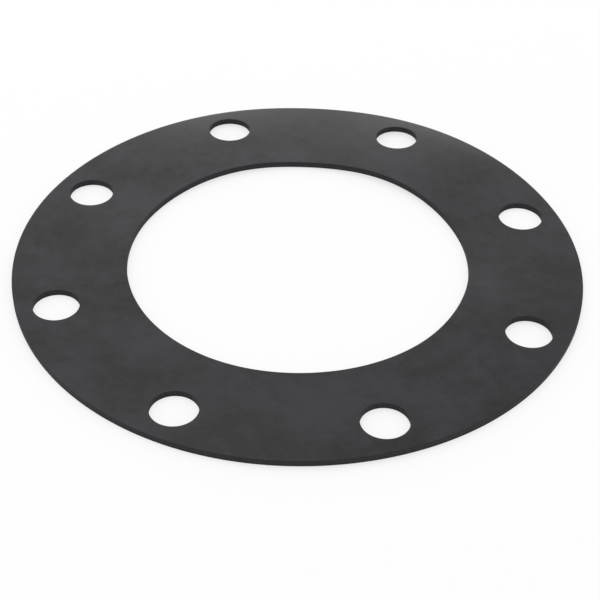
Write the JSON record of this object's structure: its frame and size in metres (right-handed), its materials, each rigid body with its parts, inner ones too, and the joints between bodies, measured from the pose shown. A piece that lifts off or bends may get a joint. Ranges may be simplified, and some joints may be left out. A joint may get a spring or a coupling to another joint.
{
  "type": "flange gasket",
  "caption": "Flat full-face flange gasket cut from black rubber sheet: a thin ring with a wide bore and a circle of bolt holes near its outer edge.",
  "frame": {"origin": "centre of the ring, on the face that lies on the floor", "axes": "+Z through the sheet, along the bore's axis; the bolt holes straddle the X and Y axes"},
  "size_m": [0.2794, 0.2794, 0.0032],
  "materials": {
    "rubber_sheet": "black sulphur-cured rubber sheet, matt with a soft sheen at low angles"
  },
  "bodies": {
    "root": {"gasket": "rubber_sheet"}
  },
  "joints": []
}
